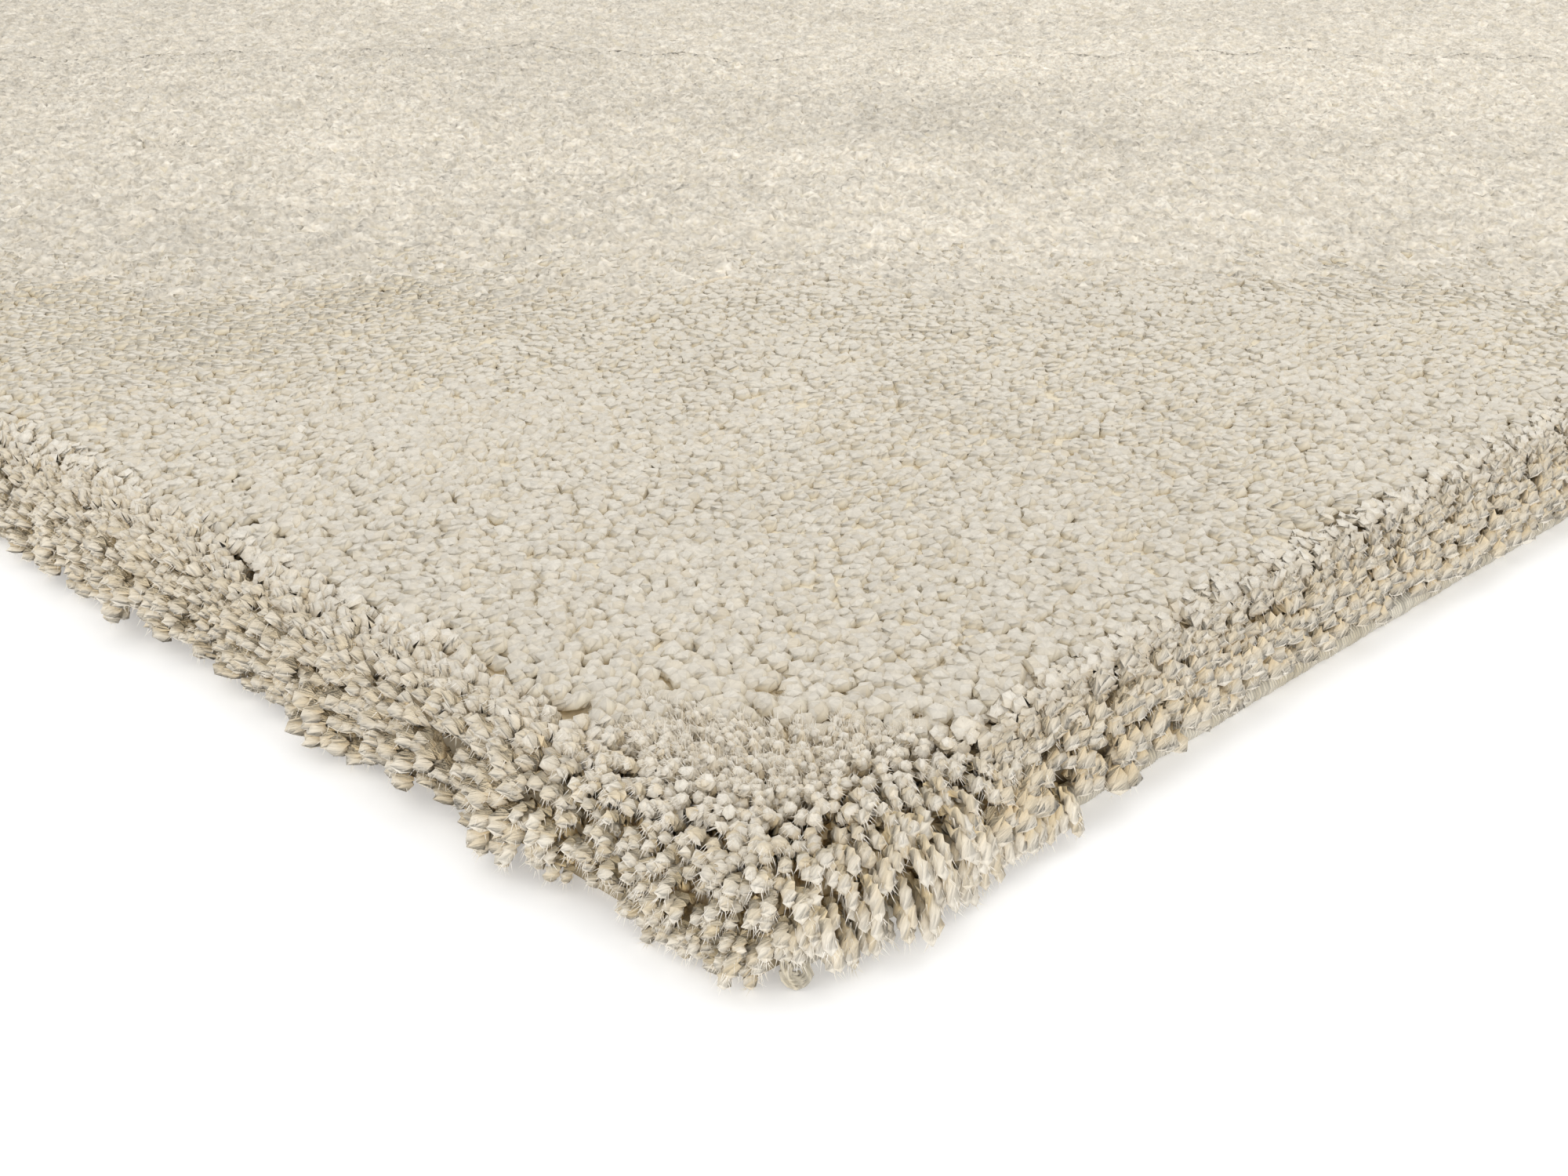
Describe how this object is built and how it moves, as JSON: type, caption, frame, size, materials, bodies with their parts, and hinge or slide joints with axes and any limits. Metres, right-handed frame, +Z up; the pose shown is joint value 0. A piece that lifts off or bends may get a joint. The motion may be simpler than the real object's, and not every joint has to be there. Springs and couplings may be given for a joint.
{
  "type": "shag rug",
  "caption": "Rectangular shag rug: a thick cream cut pile on a woven ground cloth, with whipped long edges and yarn locks round its rim.",
  "frame": {"origin": "on the floor, under the middle of the rug", "axes": "+X across the rug, from one whipped edge to the other; +Y along the rug; +Z up out of the pile"},
  "size_m": [1.6318, 2.338, 0.0393],
  "materials": {
    "pile_yarn": "soft two-ply twisted yarn, cream mixed with beige",
    "whipping_thread": "greige thread wound tightly over a cord",
    "ground_weave": "coarse plain weave"
  },
  "bodies": {
    "root": {"ground_cloth": "ground_weave", "pile": "pile_yarn", "selvedge_left": "whipping_thread", "selvedge_right": "whipping_thread"}
  },
  "joints": []
}
